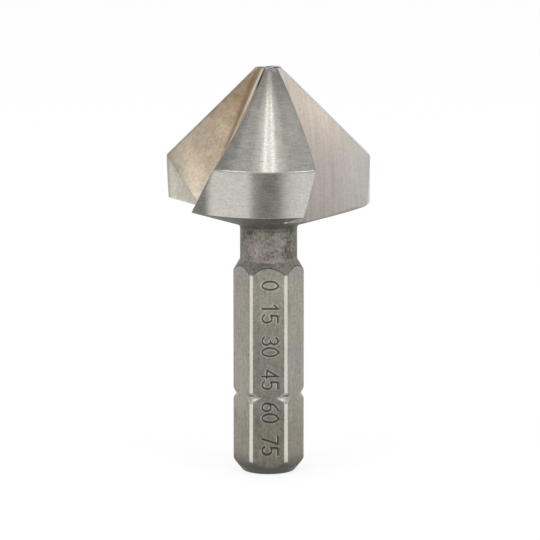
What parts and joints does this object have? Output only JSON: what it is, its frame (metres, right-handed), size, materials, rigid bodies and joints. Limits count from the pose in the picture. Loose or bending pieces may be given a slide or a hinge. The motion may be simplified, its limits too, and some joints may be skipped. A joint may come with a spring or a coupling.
{
  "type": "countersink bit",
  "caption": "Conical countersink bit with relieved lands and gently helical flutes on a hexagonal quick-change shank.",
  "frame": {"origin": "centre of the shank's flat end face", "axes": "+Z along the turning axis towards the tip, -Y along the normal of one shank flat, +X to its right"},
  "size_m": [0.0203, 0.0201, 0.041],
  "materials": {
    "ground_steel": "ground and satin"
  },
  "bodies": {
    "root": {"countersink_bit": "ground_steel"}
  },
  "joints": []
}
